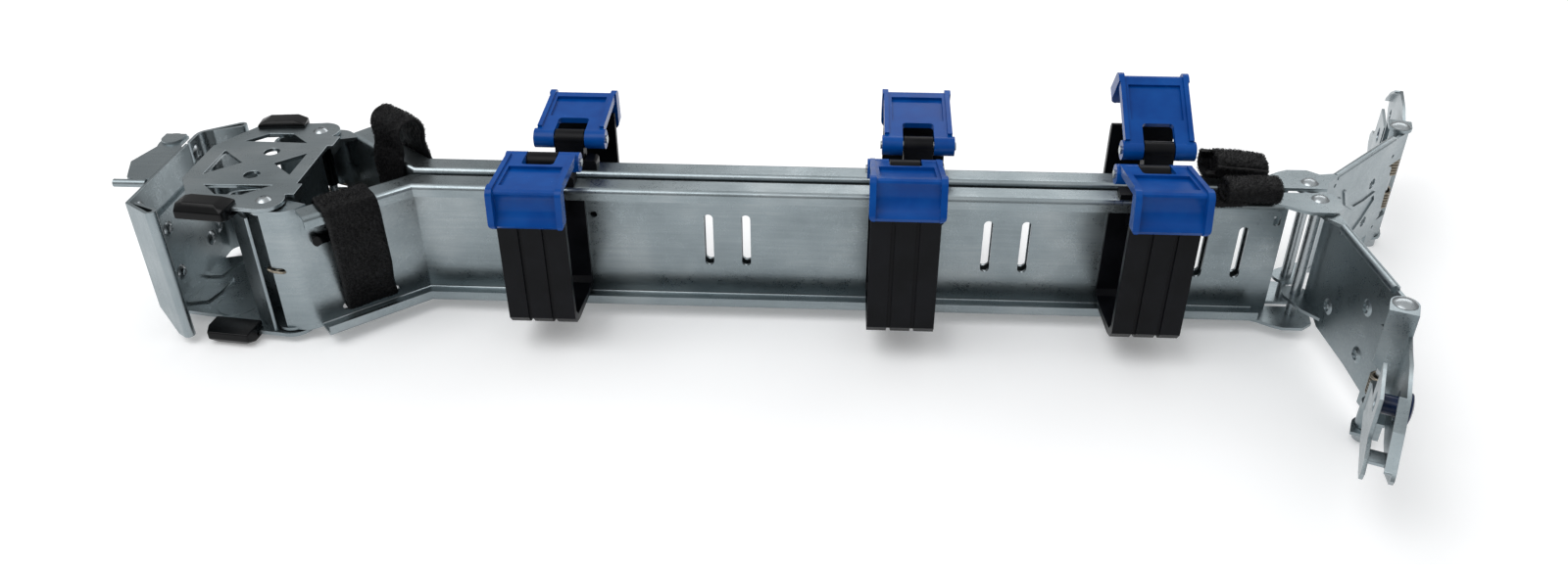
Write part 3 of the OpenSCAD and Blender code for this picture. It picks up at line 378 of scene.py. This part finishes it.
elbowSpring = {"radius": 2.45, "low": 20.0, "high": 30.2, "turns": 8.5, "wire": 0.5, "sides": 10}
for side, hand in (("front", 1), ("rear", -1)):
    axis = centreOf("elbow_pin_" + side)
    axis.z = 0
    coil = coilPoints(axis, elbowSpring["radius"], 0, elbowSpring["turns"], elbowSpring["low"],
                      elbowSpring["high"], hand)
    rest = axis + Vector((elbowSpring["radius"], -3.2 * hand, elbowSpring["low"]))
    sweepWire("elbow_spring_coil_" + side, [rest] + coil, elbowSpring, "link", "elbow_spring_" + side)
    # The leg that hooks out through the arm's notch
    hook = [(-2.45, 0.6, 30.2), (-2.5, -2.2, 30.3), (-2.6, -4.6, 31.4), (-1.8, -6.1, 31.6),
            (0.4, -6.0, 30.6), (3.4, -5.8, 30.1), (3.9, -4.6, 30.2)]
    points = smoothPath([axis + Vector((x, hand * y, z)) for x, y, z in hook], 0.35)
    sweepWire("elbow_spring_leg_" + side, points, elbowSpring, side + "_arm")

hingeSpring = {"radius": 3.0, "coils": ((18.6, 26.0), (33.2, 40.6)), "turns": 6, "wire": 0.56, "sides": 10}
for side, hand in (("front", 1), ("rear", -1)):
    axis = centreOf("hinge_pin_" + side)
    axis.z = 0
    (lowA, highA), (lowB, highB) = hingeSpring["coils"]
    first = coilPoints(axis, hingeSpring["radius"], 0, hingeSpring["turns"], lowA, highA, hand)
    second = coilPoints(axis, hingeSpring["radius"], 180, hingeSpring["turns"], lowB, highB, hand)
    sweepWire("hinge_spring_coil_" + side, first + second, hingeSpring, side + "_bracket",
              "hinge_spring_" + side)
print("springs wound")


# Short loops of thread stand all over the faces that carry pile
def makePileTree():
    tree, given, result = newTree("loopPile", {"Loop Spacing": "Float", "Loop Radius": "Float",
                                               "Thread Radius": "Float", "Seed": "Int",
                                               "Fabric": "Material"})
    carriesPile = addNode(tree, "GeometryNodeInputNamedAttribute", {"Name": "pile"}, data_type="BOOLEAN")
    spread = addNode(tree, "GeometryNodeDistributePointsOnFaces",
                     {"Mesh": given["Geometry"], "Selection": carriesPile, "Seed": given["Seed"],
                      "Distance Min": given["Loop Spacing"], "Density Max": 4e6},
                     distribute_method="POISSON")
    arc = addNode(tree, "GeometryNodeCurveArc", {"Resolution": 6, "Radius": given["Loop Radius"],
                                                 "Start Angle": math.radians(-25),
                                                 "Sweep Angle": math.radians(230)})
    standing = addNode(tree, "GeometryNodeTransform", {"Geometry": arc, "Rotation": (math.pi / 2, 0, 0)})
    thread = addNode(tree, "GeometryNodeCurvePrimitiveCircle", {"Resolution": 3,
                                                                "Radius": given["Thread Radius"]})
    loop = addNode(tree, "GeometryNodeCurveToMesh", {"Curve": standing, "Profile Curve": thread})
    spin = addNode(tree, "FunctionNodeRandomValue", {0: (-0.5, -0.5, 0), 1: (0.5, 0.5, 6.28),
                                                     "Seed": given["Seed"]}, data_type="FLOAT_VECTOR")
    lean = addNode(tree, "FunctionNodeRotateRotation", {0: spread.outputs["Rotation"], 1: spin},
                   rotation_space="LOCAL")
    size = addNode(tree, "FunctionNodeRandomValue", {2: 0.75, 3: 1.25, "Seed": given["Seed"]},
                   data_type="FLOAT")
    loops = addNode(tree, "GeometryNodeInstanceOnPoints", {"Points": spread, "Instance": loop,
                                                           "Rotation": lean, "Scale": size.outputs[1]})
    both = addNode(tree, "GeometryNodeJoinGeometry", {"Geometry": given["Geometry"]})
    tree.links.new(loops.outputs[0], both.inputs["Geometry"])
    real = addNode(tree, "GeometryNodeRealizeInstances", {0: both})
    finish = addNode(tree, "GeometryNodeSetMaterial", {"Geometry": real, "Material": given["Fabric"]})
    tree.links.new(finish.outputs[0], result["Geometry"])
    return tree


pileTree = makePileTree()
strapLook = {"thickness": 1.5, "spacing": 0.74, "loopRadius": 0.38, "threadRadius": 0.1, "wobble": 0.22}


# Band of tape along a path, with rounded selvedges, a slight wave and cut ends. toPlace turns
# (across, out, up) into a point of the scene; pileSide is 1 or -1 for the face with pile, 0 for both
def addStrap(name, path, near, far, toPlace, body, replaced, seed, pileSide=0, skew=0.0):
    half = strapLook["thickness"] / 2
    outline = [(near, 0)]
    across = 12
    for i in range(across + 1):
        outline.append((near + half + (far - near - 2 * half) * i / across, half))
    outline.append((far, 0))
    outline += [(x, -half) for x, _ in reversed(outline[1:-1])]
    work = bmesh.new()
    pile = work.faces.layers.bool.new("pile")
    rings = []
    for i, point in enumerate(path):
        ahead = (path[min(i + 1, len(path) - 1)] - path[max(i - 1, 0)]).normalized()
        normal = Vector((-ahead.y, ahead.x))
        ring = []
        for x, depth in outline:
            ripple = math.sin(0.31 * i + seed) + 0.7 * math.sin(0.47 * x + 0.17 * i + 2 * seed)
            wave = strapLook["wobble"] * ripple
            drift = 0.18 * math.sin(0.23 * i + 3 * seed) + skew * (i / len(path) - 0.5)
            spot = point + normal * (depth + wave)
            ring.append(work.verts.new(toPlace(x + drift, spot.x, spot.y)))
        rings.append(ring)
    count = len(outline)
    for first, second in zip(rings, rings[1:]):
        for k in range(count):
            m = (k + 1) % count
            face = work.faces.new((first[k], first[m], second[m], second[k]))
            face.smooth = True
            upper = 1 <= k <= across
            face[pile] = pileSide == 0 or (upper and pileSide > 0) or (not upper and pileSide < 0)
    work.faces.new(list(reversed(rings[0])))
    work.faces.new(rings[-1])
    bmesh.ops.recalc_face_normals(work, faces=work.faces)
    mesh = bpy.data.meshes.new(name)
    work.to_mesh(mesh)
    work.free()
    final = runTree(pileTree, mesh, {"Loop Spacing": strapLook["spacing"] * mm, "Seed": seed,
                                     "Loop Radius": strapLook["loopRadius"] * mm,
                                     "Thread Radius": strapLook["threadRadius"] * mm, "Fabric": loopFabric})
    return addPiece(name, final, body, "black_fabric", *([replaced] if replaced else []))


# Frame of a crank: origin at its elbow end on the wall's inner face, x along it, y towards the middle
crank = {"fromPin": (8.15, -4.0), "turn": 40.0, "top": 55.2, "slotHeight": 10.0, "flange": 10.0, "lip": 4.5}


def crankPlace(side, lean=0.0):
    hand = 1 if side == "front" else -1
    axis = centreOf("elbow_pin_" + side)
    turn = math.radians(crank["turn"])

    def toPlace(x, y, z):
        x -= lean * (z - crank["slotHeight"])
        along = crank["fromPin"][0] + x * math.cos(turn) - y * math.sin(turn)
        out = crank["fromPin"][1] + x * math.sin(turn) + y * math.cos(turn)
        return Vector((axis.x + along, axis.y + hand * out, z)) * mm
    return toPlace


outer, inner = -crank["flange"] - 1.2, 1.2
rim, slot = crank["top"] + 1.2, crank["slotHeight"]
# Both straps climb the flange's edge from the slot and come down the inner face
climb = [(-2.6, slot - 0.6), (-4.0, 18), (outer + 1.6, 38), (outer + 0.2, crank["top"] - crank["lip"])]
descend = [(inner, 45), (inner, 25), (inner, slot + 0.4), (-0.9, slot - 0.4)]
overCrank = climb + [(outer + 0.2, rim), (-5, rim + 0.1), (inner, rim)] + descend
addStrap("strap_wrap_front", smoothPath(overCrank, 0.8), 13.2, 32.8, crankPlace("front", 0.07), "front_arm",
         "strap_front_elbow", 3, 1)
rearLoop = climb + [(outer + 0.1, rim - 1), (-9.4, rim + 5), (-10.4, rim + 10.5), (-8.2, rim + 14.8),
                    (-4.6, rim + 15.4), (-0.8, rim + 13.4), (0.2, rim + 8.6), (-0.4, rim + 4),
                    (inner - 0.2, rim - 1)] + descend
addStrap("strap_wrap_rear", smoothPath(rearLoop, 0.8), 22.2, 41.8, crankPlace("rear"), "rear_arm",
         "strap_rear_elbow", 5, 1)


# Tape rolled on itself, flattened a little, wound inwards from its outer turn
def rollPath(deep, tall, turns, startAngle, layer):
    points = []
    count = round(turns * 36)
    for i in range(count + 1):
        angle = math.radians(startAngle + 360 * turns * i / count)
        inset = layer * turns * i / count
        a, b = deep / 2 - 0.75 - inset, tall / 2 - 0.75 - inset
        blend = (abs(math.cos(angle)) ** 2.6 + abs(math.sin(angle)) ** 2.6) ** (-1 / 2.6)
        points.append((a * blend * math.cos(angle), b * blend * math.sin(angle)))
    return points


rollLook = {"front": {"hand": -1, "seed": 7, "turns": 1.3, "left": 4.2, "right": 1.5, "tilt": -0.03,
                      "open": 205},
            "rear": {"hand": 1, "seed": 11, "turns": 1.6, "left": 2.4, "right": 4.0, "tilt": 0.09,
                     "open": 160}}


# Centre and size of an end roll, and the way from its own (across, out, up) into the scene
def rollPlace(side, look):
    low, high = [Vector(corner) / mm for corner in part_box(f"strap_{side}_end")]
    centre = (low + high) / 2

    def toPlace(x, y, z):
        height = centre.z + z + look["tilt"] * (centre.x - x)
        return Vector((x, centre.y + look["hand"] * y, height)) * mm
    return low, high, toPlace


for side, look in rollLook.items():
    low, high, toPlace = rollPlace(side, look)
    path = rollPath(high.y - low.y, (high.z - low.z) * 0.94, look["turns"], look["open"], 1.7)
    addStrap("strap_roll_" + side, smoothPath(path, 0.8, 1), low.x + look["left"], high.x - look["right"],
             toPlace, side + "_arm", f"strap_{side}_end", look["seed"], -1, 1.2)

# Loose layer that peeps out under the left end of each roll
low, high, toPlace = rollPlace("rear", rollLook["rear"])
flap = [(5.4, 1.5), (6.2, -1.6), (4.2, -4.4), (0, -4.7), (-4.4, -4.2), (-6.0, -1.4)]
addStrap("strap_flap_rear", smoothPath(flap, 0.8), low.x - 1.6, low.x + 12, toPlace, "rear_arm", None, 13)
low, high, toPlace = rollPlace("front", rollLook["front"])
flap = [(6.0, -3.4), (3.0, -4.4), (-1, -4.5), (-4.8, -4.0)]
addStrap("strap_flap_front", smoothPath(flap, 0.8), low.x + 0.4, low.x + 12, toPlace, "front_arm", None,
         17)
print("straps laid")

clip = {"start": 6.4, "end": 14.0, "low": 39.0, "high": 43.8, "out": 2.4, "edge": 0.6}


# Moulded hook that keeps the front strap on the crank: a bar with a waist and a nose
def addClip(look):
    start, end, low, high = look["start"], look["end"], look["low"], look["high"]
    outline = [(start, low + 1.2), (start + 1.2, low), (start + 3.2, low + 0.7), (end, low + 0.7),
               (end, high - 0.9), (start + 3.0, high - 0.9), (start + 2.2, high), (start + 0.6, high),
               (start, high - 0.9)]
    toPlace = crankPlace("front")
    work = bmesh.new()
    near = [work.verts.new(toPlace(x, -1.25, z)) for x, z in outline]
    far = [work.verts.new(toPlace(x, -1.25 - look["out"], z)) for x, z in outline]
    work.faces.new(near)
    work.faces.new(list(reversed(far)))
    for i in range(len(outline)):
        j = (i + 1) % len(outline)
        work.faces.new((near[j], near[i], far[i], far[j]))
    bmesh.ops.recalc_face_normals(work, faces=work.faces)
    bmesh.ops.bevel(work, geom=list(work.edges), offset=look["edge"] * mm, segments=3, profile=0.5,
                    affect="EDGES", clamp_overlap=True)
    mesh = bpy.data.meshes.new("clip")
    work.to_mesh(mesh)
    work.free()
    mesh.shade_smooth()
    mesh.materials.append(glossBlack)
    addPiece("strap_hook_front", mesh, "front_arm", "black_plastic")


addClip(clip)
print("hook added")

stageLook = {"floorColor": "#F1F2F3", "floorSize": 40.0, "floorGlow": 0.2,
             "skyLow": 0.28, "skyMiddle": 0.62, "skyTop": 1.05, "skyStrength": 0.8}


def makeStage(look):
    bpy.ops.mesh.primitive_plane_add(size=look["floorSize"], location=(0, 0, -0.0002))
    floor = bpy.context.object
    floor.name = "studioFloor"
    material, tree, output, place = newMaterial("paleFloor")
    plain = addNode(tree, "ShaderNodeBsdfDiffuse", {"Color": hexColor(look["floorColor"])})
    glow = addNode(tree, "ShaderNodeEmission", {"Color": hexColor("#FFFFFF"),
                                                "Strength": look["floorGlow"]})
    both = addNode(tree, "ShaderNodeAddShader", {0: plain, 1: glow})
    path = addNode(tree, "ShaderNodeLightPath").outputs
    mirrored = addNode(tree, "ShaderNodeMath", {0: path["Is Glossy Ray"], 1: path["Is Transmission Ray"]},
                       operation="ADD")
    direct = addNode(tree, "ShaderNodeMath", {0: path["Is Camera Ray"], 1: mirrored}, operation="ADD",
                     use_clamp=True)
    seen = addNode(tree, "ShaderNodeMixShader", {0: direct, 1: plain, 2: both})
    tree.links.new(seen.outputs["Shader"], output.inputs["Surface"])
    floor.data.materials.append(material)


# The room: dim near the horizon, bright overhead
def makeWorld(look):
    world = bpy.data.worlds.new("studioWorld")
    bpy.context.scene.world = world
    world.use_nodes = True
    tree = world.node_tree
    tree.nodes.clear()
    output = addNode(tree, "ShaderNodeOutputWorld")
    direction = addNode(tree, "ShaderNodeTexCoord").outputs["Generated"]
    parts = addNode(tree, "ShaderNodeSeparateXYZ", {0: direction})
    level = addNode(tree, "ShaderNodeValToRGB", {"Fac": parts.outputs["Z"]},
                    [(0.0, look["skyLow"]), (0.5, look["skyMiddle"]), (0.85, look["skyTop"])])
    background = addNode(tree, "ShaderNodeBackground", {"Color": level, "Strength": look["skyStrength"]})
    tree.links.new(background.outputs["Background"], output.inputs["Surface"])


# Soft light panel aimed at a point
def addPanel(name, location, target, width, height, power):
    light = bpy.data.lights.new(name, "AREA")
    light.shape = "RECTANGLE"
    light.size, light.size_y = width, height
    light.energy = power
    panel = bpy.data.objects.new(name, light)
    bpy.context.scene.collection.objects.link(panel)
    aim = Vector(target) - Vector(location)
    panel.matrix_world = Matrix.Translation(location) @ aim.to_track_quat("-Z", "Y").to_matrix().to_4x4()


cameraLook = {"place": (9.4, -389.8, 268.07), "down": 33.0, "left": 2.7, "focal": 1250 / 1600 * 36,
              "shiftX": (800 - 805) / 1600, "shiftY": (288 - 288.5) / 1600}


def makeCamera(look):
    camera = bpy.data.cameras.new("camera")
    camera.sensor_width = 36
    camera.lens = look["focal"]
    camera.shift_x, camera.shift_y = look["shiftX"], look["shiftY"]
    camera.clip_start, camera.clip_end = 0.01, 20
    holder = bpy.data.objects.new("camera", camera)
    bpy.context.scene.collection.objects.link(holder)
    down, turn = math.radians(look["down"]), math.radians(look["left"])
    forward = Vector((-math.sin(turn) * math.cos(down), math.cos(turn) * math.cos(down), -math.sin(down)))
    right = Vector((math.cos(turn), math.sin(turn), 0))
    up = right.cross(forward)
    rotation = Matrix((right, up, -forward)).transposed().to_4x4()
    holder.matrix_world = Matrix.Translation(Vector(look["place"]) * mm) @ rotation
    bpy.context.scene.camera = holder


makeStage(stageLook)
makeWorld(stageLook)
addPanel("keyPanel", (-0.6, -0.5, 1.3), (0, 0, 0), 1.2, 0.9, 9)
addPanel("backPanel", (0.5, 1.1, 1.0), (0, 0, 0), 1.6, 0.5, 5)
makeCamera(cameraLook)
bpy.context.scene.view_settings.view_transform = "Standard"
print("stage set")
